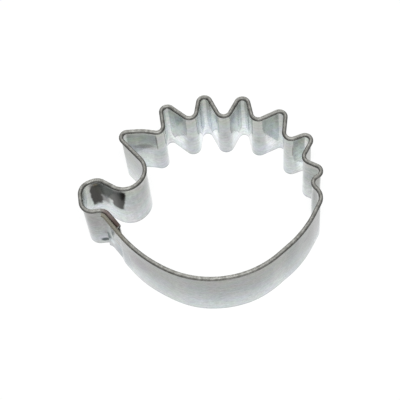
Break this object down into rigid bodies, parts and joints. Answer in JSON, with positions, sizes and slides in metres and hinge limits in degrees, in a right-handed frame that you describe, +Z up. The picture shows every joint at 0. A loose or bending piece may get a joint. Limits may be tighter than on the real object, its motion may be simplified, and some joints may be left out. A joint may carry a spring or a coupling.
{
  "type": "cookie cutter",
  "caption": "Hedgehog-shaped tinplate cookie cutter: a strip with a rolled bead, bent to a spiny outline, open through, lapped and spot welded at the chin.",
  "frame": {"origin": "under the middle of the outline's box, in the plane of the cutting edge", "axes": "+Z up from the cutting edge to the bead, +X from the nose to the tail, +Y from the belly to the spines"},
  "size_m": [0.0662, 0.0554, 0.0216],
  "materials": {
    "tinplate": "semi-bright tin",
    "weld_metal": "dull, heat tinted"
  },
  "bodies": {
    "root": {"cutter_band": "tinplate", "spot_weld_lower": "weld_metal", "spot_weld_upper": "weld_metal"}
  },
  "joints": []
}
